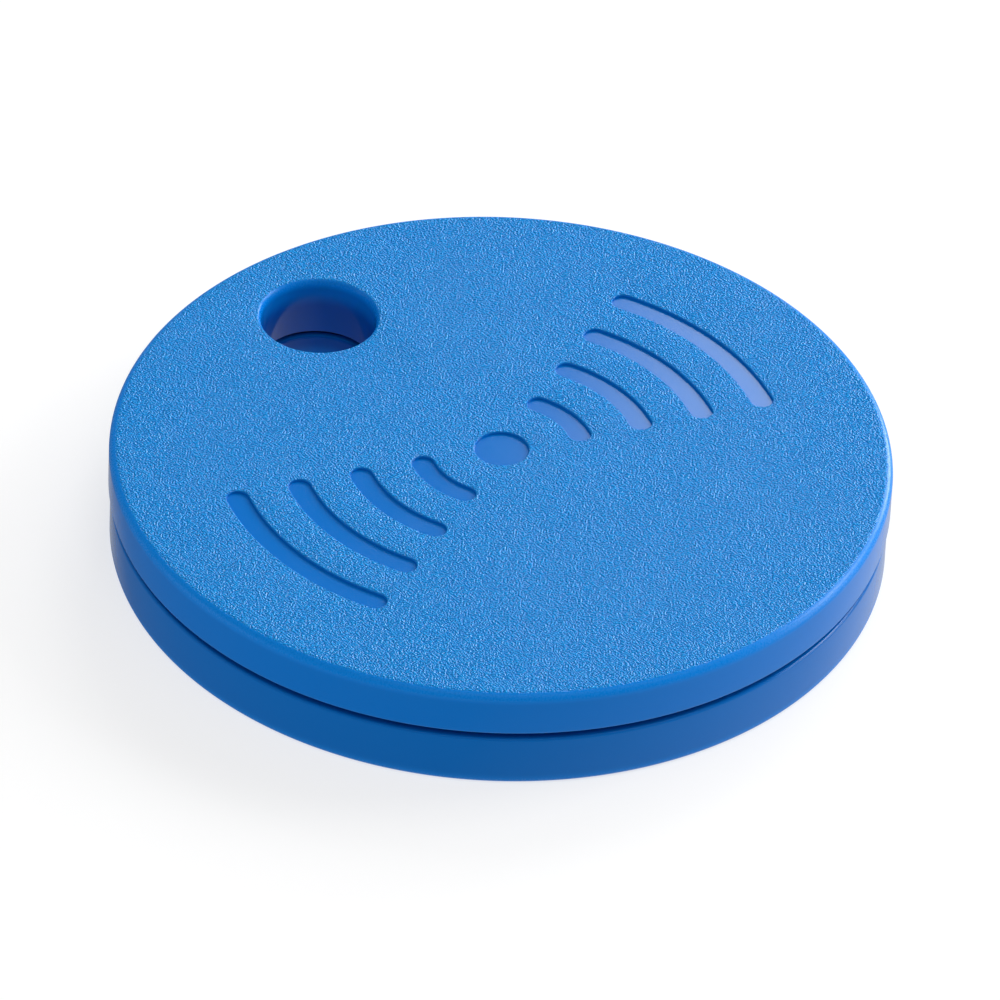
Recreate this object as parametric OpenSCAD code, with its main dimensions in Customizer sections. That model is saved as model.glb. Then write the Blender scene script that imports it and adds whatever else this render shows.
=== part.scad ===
// Coin-shaped tracker tag for keys. Two moulded shells snap together around a replaceable
// coin cell, a radio board, a piezo sounder and one switch. The whole front shell is the
// button: it floats on two rubber seals and sinks a little way when it is pressed.
//
// Millimetres. The origin is the centre of the underside, +Z points to the front face, the
// key-ring hole lies on +Y, and the mark on the face runs along X.

/* [Case] */
// Diameter of the front cover
case_d = 35; // [35:0.5:38]
// Thickness over both covers
case_h = 5; // [5:0.1:6]
// Thickness of the front face and of the back
wall = 0.8; // [0.7:0.05:0.8]
// Height of the groove between the covers
groove_h = 0.35; // [0.35:0.05:0.45]
// How much smaller the rear cover's radius is
rear_inset = 0.1; // [0.05:0.05:0.2]
// Rounding of the front cover's rim
front_round = 0.42; // [0.2:0.02:0.6]
// Rounding of the rear cover's rim
rear_round = 0.28; // [0.1:0.02:0.4]

/* [Key-ring hole] */
// Radius of the hole
hole_r = 2.6; // [2.2:0.1:2.8]
// Distance of the hole from the centre of the tag
hole_y = 12.5; // [12.3:0.1:13]
// Rounding of the hole's mouths
hole_round = 0.22; // [0.1:0.02:0.3]

/* [Mark] */
// Number of arcs on each side of the dot
mark_arcs = 4; // [1:1:4]
// Width of each stroke
mark_stroke = 1; // [0.6:0.1:1.2]
// Distance from one arc to the next
mark_pitch = 2.9; // [2:0.1:3]
// Half of the angle that an arc spans
mark_half_angle = 22; // [15:1:35]
// Depth of the mark
mark_depth = 0.15; // [0.05:0.05:0.3]

/* [Coin cell] */
// Height of the cell
cell_h = 2.5; // [2:0.1:2.5]
// Distance of the cell's axis from the centre of the tag, away from the hole
cell_offset = 2.2; // [2:0.1:2.4]

/* [Button] */
// How far the front cover sinks when it is pressed
press = 0.25; // [0.15:0.05:0.25]

/* [Hidden] */

$fn = 96;
over = 0.2;   // how far a cutter runs past the face that it cuts
touch = 0.02; // gap left where a sprung piece touches a piece of another body

// Case, from the underside up
case_r = case_d / 2;
rear_r = case_r - rear_inset;
rear_top = 2.5;                    // rim of the rear cover
front_low = rear_top + groove_h;   // lower edge of the front cover's skirt
roof = case_h - wall;              // underside of the front face
skirt_t = 1.15;
rim_t = 0.45;
rim_edge_round = 0.15;
ledge_z = 1.9;                     // what the perimeter seal stands on
ledge_in = rear_r - 1.1;
seal_in = ledge_in + 0.1;
seal_t = 0.45;

// Snap hooks of the front cover and catches of the rear cover
hook_count = 6;
hook_span = 14;                    // degrees
hook_out = ledge_in - 0.5;
hook_t = 0.4;
barb = 0.2;
barb_h = 0.35;
hook_low = wall + press + 0.15;
catch_in = hook_out + barb + 0.05;
catch_low = hook_low + barb_h + 0.07;
barb_land = 0.1;                   // upright part of the barb's nose

// Mark on the face
dot_r = 1.2;
mark_start = 0.8;                  // the first arc lies one pitch beyond this radius

// Key-ring hole
boss_z = 1.75;                     // top of the rear cover's boss
boss_t = 0.45;
boss_ledge_z = 1.1;                // what the keyhole seal stands on
boss_ledge_t = 1;
sleeve_low = boss_z + groove_h;
sleeve_t = 0.95;
hole_seal_in = hole_r + 0.5;
hole_seal_t = 0.4;

// Coin cell, with its cap towards the back
cell_r = 10;
cell_z = wall + 0.25;
cell_top = cell_z + cell_h;
can_t = 0.25;
cap_r = 8.4;
cap_flange_r = 9.3;
cap_flange_t = 0.2;
gasket_t = 0.15;
crimp_in = 8.75;
crimp_z = cell_z + 0.17;
crimp_top = crimp_z + can_t;
well_in = cell_r + 0.2;
well_t = 0.45;
well_top = 2.4;
well_arcs = [[0, 34], [62, 20], [118, 20], [180, 34], [265, 40]];   // middle and span
pad_r = 0.6;                       // the pads that the cap stands on
pad_at = 7.4;
pad_angles = [30, 150, 270];

// Circuit board
board_z = 1.4;
board_t = 0.6;
board_top = board_z + board_t;
board_r = hook_out - hook_t - 0.2;
board_cut_r = cell_r + 0.8;
board_gap = 9.2;                   // width of the opening at the key-ring hole
stake_r = 0.5;
stake_clear = 0.05;
stake_head_r = 0.8;
stake_head_h = 0.3;
shoulder_r = 1;
stakes = [[60, 14], [118, 14], [270, 14.15]];        // angle and radius of each post
rest_r = 0.6;
rests = [[8, 14.2], [172, 13.6], [187, 13.4], [230, 13.9], [310, 13.9], [345, 13.2]];

// Contacts of the cell
curl_t = 0.15;
curl_w = 2.4;
curl_r = 0.6;
curl_foot = 2.1;
leaf_t = 0.12;
leaf_r = 4;
leaf_slot = 0.5;
leaf_tail_w = 2;
leaf_tail = 1.4;
dimple_r = 0.45;
dimple_at = 2.8;
positive_angle = -35;
negative_angle = 215;

// Sounder: a brass plate with a ceramic disc, held by a ring of adhesive under the face
piezo_x = 3.5;
piezo_y = -2.6;
plate_r = 10.5;
ceramic_r = 8.6;
adhesive_w = 1;
adhesive_t = 0.1;
plate_t = 0.1;
ceramic_t = 0.08;
plate_low = roof - adhesive_t - plate_t;
ceramic_low = plate_low - ceramic_t;
piezo_rib_t = 0.5;
piezo_rib_h = 0.3;
sounder_inner_x = 11.45;
sounder_outer_x = 13.2;

// Switch
switch_x = -12.9;
switch_y = -2.2;
switch_w = 3.4;
switch_leg_w = 1.6;
switch_h = 0.9;
switch_floor = board_top + 0.3;
switch_well_r = 1.3;
plunger_r = 0.8;
flange_r = 1.15;
plunger_low = switch_floor + press + 0.12;
plunger_top = board_top + 1.45;
frame_t = 0.1;
actuator_r = 1;                    // post under the face that presses the switch
actuator_rib = 3.6;
actuator_rib_t = 0.4;
actuator_rib_h = 0.3;

// ---------------------------------------------------------------- shared shapes

// What a rounding of radius f takes off a corner at [x, z] that points towards [sx, sz]
module corner_waste(x, z, f, sx, sz) {
    cx = x - sx * f;
    cz = z - sz * f;
    difference() {
        translate([min(cx, cx + sx * (f + over)), min(cz, cz + sz * (f + over))])
            square(f + over);
        translate([cx, cz]) circle(f);
    }
}

// A ring about the Z axis
module ring(inner, thick, low, high) {
    translate([0, 0, low])
        difference() {
            cylinder(r = inner + thick, h = high - low);
            translate([0, 0, -over]) cylinder(r = inner, h = high - low + 2 * over);
        }
}

// Part of a ring, span degrees wide and centred on angle
module ring_part(inner, thick, low, high, angle, span) {
    rotate([0, 0, angle - span / 2])
        rotate_extrude(angle = span)
            translate([inner, low]) square([thick, high - low]);
}

// A rectangular block that stands on the XY plane, centred on Z
module block(x, y, h) {
    translate([-x / 2, -y / 2, 0]) cube([x, y, h]);
}

// Puts a component on the board, with its X side along the radius
module seat(angle, radius) {
    rotate([0, 0, angle]) translate([radius, 0, board_top]) children();
}

module at_hole() {
    translate([0, hole_y, 0]) children();
}

module at_cell(angle = 0) {
    translate([0, -cell_offset, 0]) rotate([0, 0, angle]) children();
}

module at_piezo() {
    translate([piezo_x, piezo_y, 0]) children();
}

module at_switch() {
    translate([switch_x, switch_y, 0]) children();
}

// The key-ring hole, rounded at the mouth in the plane z and opening towards sz
module hole_cut(z, sz) {
    at_hole()
        rotate_extrude() {
            translate([0, -over]) square([hole_r, case_h + 2 * over]);
            corner_waste(hole_r, z, hole_round, -1, sz);
        }
}

// ---------------------------------------------------------------- rear case

module rear_shell_profile() {
    difference() {
        union() {
            square([rear_r, wall]);
            translate([ledge_in, 0]) square([rear_r - ledge_in, ledge_z]);
            translate([rear_r - rim_t, 0]) square([rim_t, rear_top]);
        }
        corner_waste(rear_r, 0, rear_round, 1, -1);
        corner_waste(rear_r, rear_top, rim_edge_round, 1, 1);
    }
}

module board_posts() {
    for (s = stakes)
        rotate([0, 0, s[0]])
            translate([s[1], 0, 0]) {
                translate([0, 0, wall / 2]) cylinder(r = shoulder_r, h = board_z - wall / 2);
                translate([0, 0, board_z - over]) cylinder(r = stake_r, h = board_t + 2 * over);
                translate([0, 0, board_top]) cylinder(r = stake_head_r, h = stake_head_h);
            }
    for (s = rests)
        rotate([0, 0, s[0]])
            translate([s[1], 0, wall / 2]) cylinder(r = rest_r, h = board_z - wall / 2);
}

// Low walls that locate the cell, and three pads that it stands on
module cell_well() {
    at_cell() {
        for (a = well_arcs)
            ring_part(well_in, well_t, wall / 2, well_top, a[0], a[1]);
        for (a = pad_angles)
            rotate([0, 0, a])
                translate([pad_at, 0, wall / 2])
                    cylinder(r = pad_r, h = cell_z - wall / 2 - touch);
    }
}

module rear_cover() {
    color([0.05, 0.4, 0.75])
        difference() {
            union() {
                rotate_extrude() rear_shell_profile();
                at_hole() {
                    translate([0, 0, wall / 2])
                        cylinder(r = hole_r + boss_ledge_t, h = boss_ledge_z - wall / 2);
                    translate([0, 0, wall / 2]) cylinder(r = hole_r + boss_t, h = boss_z - wall / 2);
                }
                for (i = [0 : hook_count - 1])
                    ring_part(catch_in, ledge_in + over - catch_in, catch_low, ledge_z,
                              i * 360 / hook_count, hook_span);
                board_posts();
                cell_well();
            }
            hole_cut(0, -1);
        }
}

// A C-shaped board around the cell, open at the key-ring hole
module circuit_board() {
    color([0.05, 0.35, 0.2])
        translate([0, 0, board_z])
            linear_extrude(board_t)
                difference() {
                    circle(board_r);
                    at_cell() circle(board_cut_r);
                    translate([-board_gap / 2, 0]) square([board_gap, case_r]);
                    for (s = stakes)
                        rotate(s[0]) translate([s[1], 0]) circle(stake_r + stake_clear);
                }
}

module radio_chip() {
    color([0.12, 0.12, 0.13])
        seat(45, 12.2)
            difference() {
                block(5, 5, 0.85);
                translate([-1.9, -1.9, 0.8]) cylinder(r = 0.25, h = over);
            }
}

// A ceramic base with a smaller metal lid
module crystal(x, y, h) {
    block(x, y, h * 0.7);
    translate([0, 0, h * 0.7]) block(x - 0.3, y - 0.3, h * 0.3);
}

module main_crystal() {
    color([0.75, 0.75, 0.7]) seat(8, 13.4) crystal(1.6, 2, 0.5);
}

module clock_crystal() {
    color([0.75, 0.75, 0.7]) seat(24, 13.6) crystal(1.5, 3.2, 0.75);
}

module chip_antenna() {
    color([0.9, 0.9, 0.88])
        seat(138, 13.6) {
            block(2, 5.8, 0.8);
            for (side = [-1, 1])
                translate([0, side * 3.2, 0]) block(2.05, 0.6, 0.82);
        }
}

// A square ferrite with a round winding between its flanges
module boost_inductor() {
    color([0.25, 0.25, 0.27])
        seat(166, 12.8) {
            block(3, 3, 0.3);
            cylinder(r = 1.25, h = 1.2);
            translate([0, 0, 0.9]) cylinder(r = 1.45, h = 0.3);
        }
}

module driver_chip() {
    color([0.12, 0.12, 0.13]) seat(138, 10.9) block(2, 2, 0.75);
}

// A small two-ended component, its ends a little thicker than its middle
module chip_passive(h) {
    block(0.48, 0.6, h - 0.02);
    for (side = [-1, 1])
        translate([0, side * 0.38, 0]) block(0.5, 0.24, h);
}

module capacitors() {
    places = [[21, 11.5], [15, 11.4], [9, 11.5], [3, 11.8], [62, 11.4], [150, 10.5],
              [242, 14.1], [250, 14.1], [258, 14.1], [282, 14.1]];
    color([0.6, 0.45, 0.3])
        for (p = places)
            seat(p[0], p[1]) chip_passive(0.5);
}

module resistors() {
    places = [[66, 13.6], [126, 10.7], [156.5, 10.6], [290, 14.1], [298, 14.1], [331, 13.6]];
    color([0.1, 0.1, 0.1])
        for (p = places)
            seat(p[0], p[1]) chip_passive(0.35);
}

// A bent strip on the board whose curl presses on the side of the cell
module positive_contact() {
    curl_x = cell_r + touch + curl_r;
    curl_z = board_top + curl_r + curl_t;
    stem_x = curl_x + curl_r - curl_t;
    color([0.85, 0.75, 0.45])
        at_cell(positive_angle)
            translate([0, curl_w / 2, 0])
                rotate([90, 0, 0])
                    linear_extrude(curl_w) {
                        translate([stem_x, board_top]) square([curl_foot, curl_t]);
                        translate([stem_x, board_top]) square([curl_t, curl_z - board_top]);
                        translate([curl_x, curl_z])
                            difference() {
                                circle(curl_r);
                                circle(curl_r - curl_t);
                                polygon([[0, 0], [over - curl_r, -2 * curl_r], [2 * curl_r, -2 * curl_r],
                                         [2 * curl_r, 0]]);
                            }
                    }
}

// A leaf under the cell with three raised points, and a tail that rises to the board
module negative_contact() {
    riser_x = board_cut_r + 0.25 - leaf_t;
    tail_x = leaf_r - 0.5;
    color([0.85, 0.75, 0.45])
        at_cell(negative_angle) {
            difference() {
                translate([0, 0, wall]) cylinder(r = leaf_r, h = leaf_t);
                for (a = [60, 180, 300])
                    rotate([0, 0, a])
                        translate([leaf_r * 0.3, -leaf_slot / 2, wall - over])
                            cube([leaf_r, leaf_slot, 2 * over]);
            }
            for (a = [0, 120, 240])
                rotate([0, 0, a])
                    translate([dimple_at, 0, wall])
                        cylinder(r = dimple_r, h = cell_z - touch - wall);
            translate([0, -leaf_tail_w / 2, 0]) {
                translate([tail_x, 0, wall]) cube([riser_x + leaf_t - tail_x, leaf_tail_w, leaf_t]);
                translate([riser_x, 0, wall]) cube([leaf_t, leaf_tail_w, board_z - wall]);
                translate([riser_x, 0, board_z - leaf_t]) cube([leaf_tail, leaf_tail_w, leaf_t]);
            }
        }
}

// ---------------------------------------------------------------- switch

module switch_base() {
    color([0.15, 0.15, 0.16])
        at_switch()
            difference() {
                translate([0, 0, board_top]) block(switch_w, switch_w, switch_h);
                translate([0, 0, switch_floor]) cylinder(r = switch_well_r, h = switch_h);
            }
}

// A shallow snap dome, part of a thin sphere standing in the well
module switch_dome() {
    foot_r = 1.2;
    rise = 0.32;
    dome_r = (foot_r * foot_r + rise * rise) / (2 * rise);
    thick = 0.06;
    color([0.8, 0.8, 0.8])
        at_switch()
            translate([0, 0, switch_floor])
                rotate_extrude()
                    intersection() {
                        translate([0, rise - dome_r])
                            difference() {
                                circle(dome_r);
                                circle(dome_r - thick);
                            }
                        square([foot_r, rise + over]);
                    }
}

// A metal plate that holds the plunger in, with two legs down the sides to the board
module switch_frame() {
    color([0.78, 0.78, 0.76])
        at_switch()
            translate([0, 0, board_top])
                difference() {
                    union() {
                        translate([0, 0, switch_h]) block(switch_w, switch_w, frame_t);
                        for (side = [-1, 1])
                            translate([0, side * (switch_w + frame_t) / 2, 0])
                                block(switch_leg_w, frame_t, switch_h + frame_t);
                    }
                    translate([0, 0, switch_h - over])
                        cylinder(r = plunger_r + 0.1, h = frame_t + 2 * over);
                }
}

module switch_plunger() {
    color([0.2, 0.2, 0.22])
        at_switch() {
            translate([0, 0, plunger_low]) cylinder(r = plunger_r, h = plunger_top - plunger_low);
            translate([0, 0, plunger_low])
                cylinder(r = flange_r, h = board_top + switch_h - 0.05 - plunger_low);
        }
}

// ---------------------------------------------------------------- sounder

// A half-loop leaf from the board to the height high
module loop_contact(x, high) {
    strip_t = 0.1;
    loop_r = (high - board_top) / 2;
    color([0.85, 0.75, 0.45])
        translate([x - 0.45, piezo_y, 0])
            rotate([90, 0, 90])
                linear_extrude(0.9) {
                    translate([0, board_top + loop_r])
                        difference() {
                            circle(loop_r);
                            circle(loop_r - strip_t);
                            translate([0, -2 * loop_r]) square(4 * loop_r);
                        }
                    translate([-0.1, board_top]) square([1.1, strip_t]);
                    translate([-0.1, high - strip_t]) square([0.6, strip_t]);
                }
}

module sounder_contact_inner() {
    loop_contact(sounder_inner_x, ceramic_low - touch);
}

module sounder_contact_outer() {
    loop_contact(sounder_outer_x, plate_low - touch);
}

module piezo_plate() {
    color([0.85, 0.68, 0.3]) at_piezo() translate([0, 0, plate_low]) cylinder(r = plate_r, h = plate_t);
}

module piezo_ceramic() {
    color([0.88, 0.88, 0.86])
        at_piezo() translate([0, 0, ceramic_low]) cylinder(r = ceramic_r, h = ceramic_t);
}

module piezo_adhesive() {
    color([0.9, 0.85, 0.7]) at_piezo() ring(plate_r - adhesive_w, adhesive_w, roof - adhesive_t, roof);
}

// ---------------------------------------------------------------- coin cell

// The positive cup: its flat face is up, its side crimped in at the bottom
module coin_cell_can() {
    color([0.8, 0.8, 0.8])
        at_cell()
            rotate_extrude()
                difference() {
                    union() {
                        translate([0, cell_top - can_t]) square([cell_r, can_t]);
                        translate([cell_r - can_t, crimp_z]) square([can_t, cell_top - crimp_z]);
                        translate([crimp_in, crimp_z]) square([cell_r - crimp_in, can_t]);
                    }
                    corner_waste(cell_r, cell_top, can_t, 1, 1);
                    corner_waste(cell_r, crimp_z, can_t, 1, -1);
                }
}

// The plastic ring that parts the cup from the cap
module coin_cell_gasket() {
    can_in = cell_r - can_t;
    color([0.2, 0.2, 0.2])
        at_cell() {
            ring(cap_r, crimp_in - cap_r, crimp_z + 0.05, crimp_top);
            ring(cap_r, can_in - cap_r, crimp_top, crimp_top + gasket_t);
            ring(cap_flange_r, can_in - cap_flange_r, crimp_top + gasket_t - touch,
                 cell_top - can_t);
        }
}

// The negative cap, a shallow cup whose flange the gasket holds
module coin_cell_cap() {
    flange_z = crimp_top + gasket_t;
    cap_in = cap_r - can_t;
    color([0.75, 0.75, 0.75])
        at_cell()
            rotate_extrude() {
                difference() {
                    translate([0, cell_z]) square([cap_r, flange_z + cap_flange_t - cell_z]);
                    translate([-over, cell_z + can_t])
                        square([cap_in + over, flange_z + over - cell_z]);
                    corner_waste(cap_r, cell_z, 0.2, 1, -1);
                }
                translate([cap_in, flange_z]) square([cap_flange_r - cap_in, cap_flange_t]);
            }
}

// The pellet, separator and foil inside the cell, as one filled shape
module coin_cell_electrodes() {
    low = cell_z + can_t;
    flange_top = crimp_top + gasket_t + cap_flange_t;
    color([0.15, 0.15, 0.15])
        at_cell() {
            translate([0, 0, low]) cylinder(r = cap_r - can_t, h = flange_top - low);
            translate([0, 0, flange_top])
                cylinder(r = cap_flange_r, h = cell_top - can_t - flange_top);
        }
}

// ---------------------------------------------------------------- seals

module perimeter_seal() {
    color([0.03, 0.12, 0.3]) ring(seal_in, seal_t, ledge_z, front_low);
}

module keyhole_seal() {
    color([0.03, 0.12, 0.3]) at_hole() ring(hole_seal_in, hole_seal_t, boss_ledge_z, sleeve_low);
}

// ---------------------------------------------------------------- front cover

module front_shell_profile() {
    difference() {
        union() {
            translate([0, roof]) square([case_r, wall]);
            translate([case_r - skirt_t, front_low]) square([skirt_t, case_h - front_low]);
        }
        corner_waste(case_r, case_h, front_round, 1, 1);
        corner_waste(case_r, front_low, rim_edge_round, 1, -1);
    }
}

// Arms that hang inside the rear cover's rim, each with a barb at its foot
module snap_hooks() {
    for (i = [0 : hook_count - 1])
        rotate([0, 0, i * 360 / hook_count - hook_span / 2])
            rotate_extrude(angle = hook_span) {
                translate([hook_out - hook_t, hook_low]) square([hook_t, roof + over - hook_low]);
                polygon([[hook_out - over, hook_low], [hook_out, hook_low],
                         [hook_out + barb, hook_low + barb_h - barb_land],
                         [hook_out + barb, hook_low + barb_h], [hook_out - over, hook_low + barb_h]]);
            }
}

// One stroke of the mark: an arc about the centre with round ends
module mark_arc(radius) {
    rotate([0, 0, -mark_half_angle])
        rotate_extrude(angle = 2 * mark_half_angle)
            translate([radius - mark_stroke / 2, 0]) square([mark_stroke, mark_depth + over]);
    for (end = [-1, 1])
        rotate([0, 0, end * mark_half_angle])
            translate([radius, 0, 0]) cylinder(r = mark_stroke / 2, h = mark_depth + over);
}

// A dot with waves spreading from it on both sides
module mark_cut() {
    translate([0, 0, case_h - mark_depth]) {
        cylinder(r = dot_r, h = mark_depth + over);
        for (side = [0, 180], i = [1 : mark_arcs])
            rotate([0, 0, side]) mark_arc(mark_start + i * mark_pitch);
    }
}

module front_cover() {
    color([0.08, 0.45, 0.8])
        difference() {
            union() {
                rotate_extrude() front_shell_profile();
                at_hole() ring(hole_r - over, sleeve_t + over, sleeve_low, roof + over);
                at_piezo() ring(plate_r + 0.2, piezo_rib_t, roof - piezo_rib_h, roof + over);
                at_switch() {
                    translate([0, 0, plunger_top + touch])
                        cylinder(r = actuator_r, h = roof + over - plunger_top - touch);
                    for (a = [0, 90])
                        rotate([0, 0, a])
                            translate([0, 0, roof - actuator_rib_h])
                                block(actuator_rib, actuator_rib_t, actuator_rib_h + over);
                }
                snap_hooks();
            }
            hole_cut(case_h, 1);
            mark_cut();
        }
}

// A foam strip under the face that stops the cell from knocking on it
module cell_damper() {
    damper_in = 8.2;
    damper_w = 1.4;
    damper_t = 0.36;
    color([0.2, 0.2, 0.2])
        at_cell() ring_part(damper_in, damper_w, roof - damper_t, roof, 180, 44);
}

rear_cover();
circuit_board();
radio_chip();
main_crystal();
clock_crystal();
chip_antenna();
boost_inductor();
driver_chip();
capacitors();
resistors();
positive_contact();
negative_contact();
switch_base();
switch_dome();
switch_frame();
switch_plunger();
sounder_contact_inner();
sounder_contact_outer();
coin_cell_can();
coin_cell_gasket();
coin_cell_cap();
coin_cell_electrodes();
perimeter_seal();
keyhole_seal();
front_cover();
piezo_plate();
piezo_ceramic();
piezo_adhesive();
cell_damper();
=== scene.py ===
"""The looks of a coin-shaped tracker tag: two moulded blue shells and everything between them.

Lengths are in millimetres until a mesh or a light is made; Blender's own unit is the metre.
Angles are in degrees about the tag's axis, with the key-ring hole at 90.
"""
from math import atan2, cos, pi, radians, sin, sqrt, tan

import bmesh
import bpy
from mathutils import Matrix, Vector


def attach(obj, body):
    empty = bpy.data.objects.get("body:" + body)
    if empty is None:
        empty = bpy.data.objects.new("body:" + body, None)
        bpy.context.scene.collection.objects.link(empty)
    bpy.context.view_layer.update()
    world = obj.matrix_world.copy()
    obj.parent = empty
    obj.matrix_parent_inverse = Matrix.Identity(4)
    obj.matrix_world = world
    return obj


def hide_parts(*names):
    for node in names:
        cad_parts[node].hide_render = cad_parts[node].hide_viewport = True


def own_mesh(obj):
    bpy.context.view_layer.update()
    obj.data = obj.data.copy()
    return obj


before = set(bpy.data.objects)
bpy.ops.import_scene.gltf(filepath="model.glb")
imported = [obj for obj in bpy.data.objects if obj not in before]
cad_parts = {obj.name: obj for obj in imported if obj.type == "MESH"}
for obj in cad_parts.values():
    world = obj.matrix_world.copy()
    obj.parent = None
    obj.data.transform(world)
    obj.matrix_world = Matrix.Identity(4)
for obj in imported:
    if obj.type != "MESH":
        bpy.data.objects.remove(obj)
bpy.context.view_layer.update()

MM = 0.001
OVER = 0.2                      # how far a cutter runs past what it cuts
CREASE = 32                     # edges sharper than this stay sharp

# Case
TOP = 5.0
WALL = 0.8
ROOF = TOP - WALL               # underside of the front face
FRONT_R = 17.5
FRONT_LOW = 2.85                # lower edge of the front shell's skirt
SKIRT_IN = 16.35
FRONT_ROUND = 0.42
REAR_R = 17.4
REAR_TOP = 2.5
REAR_ROUND = 0.28
EDGE_ROUND = 0.15
RIM_IN = 16.95
LEDGE_Z = 1.9
LEDGE_IN = 16.3
FINE = 0.06                     # rounding of small moulded edges

# Key-ring hole
HOLE = (0, 12.5)
HOLE_R = 2.6
HOLE_ROUND = 0.22               # rounding of its mouth, across
HOLE_DEEP = 0.5                 # and in depth
BOSS_R = 3.05
BOSS_Z = 1.75
BOSS_LEDGE_R = 3.6
BOSS_LEDGE_Z = 1.1
SLEEVE_R = 3.55
SLEEVE_Z = 2.1

# Seals
SEAL_GAP = 0.004                # they end just short of the front shell
RIM_SEAL_IN = 16.4
RIM_SEAL_T = 0.45
RIM_SEAL_TOP = FRONT_LOW - SEAL_GAP
HOLE_SEAL_IN = 3.1
HOLE_SEAL_T = 0.4
HOLE_SEAL_TOP = SLEEVE_Z - SEAL_GAP

# Mark on the face: a dot between two sets of waves
MARK_DEPTH = 0.15
MARK_HALF = 0.5                 # half of a stroke's width
MARK_ANGLE = 22
MARK_RADII = [3.7, 6.6, 9.5, 12.4]
DOT_R = 1.2
MARK_LIP = 0.09                 # rounding of the mark's upper edge

# Snap fit
HOOKS = [60 * i for i in range(6)]
HOOK_SPAN = 14
HOOK_LOW = 1.2
HOOK_IN = 15.4
HOOK_OUT = 15.8
HOOK_TIP = 16
CATCH_IN = 16.05
CATCH_OUT = 16.5
CATCH_LOW = 1.62
CATCH_TOP = 1.85

# Coin cell
CELL = (0, -2.2)
CELL_R = 10.0
CELL_LOW = 1.05
CELL_TOP = 3.55
CAN_T = 0.25
CAP_R = 8.4
FLANGE_R = 9.3                  # rim of the cap, gripped by the gasket
CRIMP_IN = 8.75
CRIMP_Z = 1.22

# Board round the cell, and what holds it
BOARD_LOW = 1.4
BOARD_TOP = 2.0
BOARD_R = 15.2
BOARD_CUT_R = 10.8
BOARD_GAP = 9.2
CUT_HIGH = 5                    # cutters through the board start at 0 and end here
STAKES = [(60, 14), (118, 14), (270, 14.15)]
RESTS = [(8, 14.2), (172, 13.6), (187, 13.4), (230, 13.9), (310, 13.9), (345, 13.2)]
STAKE_R = 1
PIN_R = 0.5
PIN_HEAD_R = 0.8
REST_R = 0.6
FENCE_ARCS = [(0, 34), (62, 20), (118, 20), (180, 34), (265, 40)]
FENCE_IN = 10.2                 # the fence keeps the cell in its place
FENCE_OUT = 10.65
FENCE_TOP = 2.4

# Components on the board: angle and radius of the middle
RADIO = (45, 12.2)
DRIVER = (138, 10.9)
MAIN_CRYSTAL = (8, 13.4)
CLOCK_CRYSTAL = (24, 13.6)
ANTENNA = (138, 13.6)
INDUCTOR = (166, 12.8)
CAPACITORS = [(21, 11.5), (15, 11.4), (9, 11.5), (3, 11.8), (62, 11.4), (150, 10.5),
              (242, 14.1), (250, 14.1), (258, 14.1), (282, 14.1)]
RESISTORS = [(66, 13.6), (126, 10.7), (156.5, 10.6), (290, 14.1), (298, 14.1), (331, 13.6)]
DIP = -0.01                     # how far solder and copper reach into the board

# Sounder under the roof
PIEZO = (3.5, -2.6)
PLATE_R = 10.5
PLATE_Z = ROOF - 0.2
CERAMIC_R = 8.6
CERAMIC_Z = ROOF - 0.28
INNER_LEAF_TOP = ROOF - 0.3     # the leaf contacts end just short of ceramic and plate
OUTER_LEAF_TOP = ROOF - 0.22

# Button switch
SWITCH = (-12.9, -2.2)
SWITCH_W = 3.4
SWITCH_TOP = 2.9
WELL_Z = 2.3                    # floor of the switch's well, where the dome stands
STEM_LOW = 2.67
STEM_R = 0.8
PLUNGER_TOP = 3.45


# ------------------------------------------------------------------ meshes


def new_piece(name, points, faces):
    """A mesh piece from points in millimetres, with doubled points merged and normals outward."""
    mesh = bpy.data.meshes.new(name)
    mesh.from_pydata([[MM * value for value in point] for point in points], [], faces)
    work = bmesh.new()
    work.from_mesh(mesh)
    bmesh.ops.remove_doubles(work, verts=work.verts, dist=1e-8)
    bmesh.ops.recalc_face_normals(work, faces=work.faces)
    work.to_mesh(mesh)
    work.free()
    piece = bpy.data.objects.new(name, mesh)
    bpy.context.scene.collection.objects.link(piece)
    return piece


def rounded(corners, steps=6):
    """A closed outline whose corners (x, y, radius) are rounded; a corner (x, y) stays sharp."""
    outline = []
    for i, corner in enumerate(corners):
        here = Vector(corner[:2])
        if len(corner) == 2:
            outline.append(tuple(here))
            continue
        before = (Vector(corners[i - 1][:2]) - here).normalized()
        after = (Vector(corners[(i + 1) % len(corners)][:2]) - here).normalized()
        half = before.angle(after) / 2
        centre = here + (before + after).normalized() * corner[2] / sin(half)
        start = here + before * corner[2] / tan(half) - centre
        end = here + after * corner[2] / tan(half) - centre
        first = atan2(start.y, start.x)
        turn = (atan2(end.y, end.x) - first + pi) % (2 * pi) - pi
        for k in range(steps + 1):
            angle = first + turn * k / steps
            outline.append((centre.x + corner[2] * cos(angle), centre.y + corner[2] * sin(angle)))
    return outline


def revolve(name, outline, steps=96, at=(0, 0)):
    """An outline of (radius, height) points turned about the vertical axis through at."""
    count = len(outline)
    points = []
    for k in range(steps):
        turn = 2 * pi * k / steps
        points += [(at[0] + r * cos(turn), at[1] + r * sin(turn), z) for r, z in outline]
    faces = []
    for k in range(steps):
        here = k * count
        there = (k + 1) % steps * count
        for i in range(count):
            j = (i + 1) % count
            if outline[i][0] > 0 or outline[j][0] > 0:
                faces.append((here + i, there + i, there + j, here + j))
    return new_piece(name, points, faces)


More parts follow.
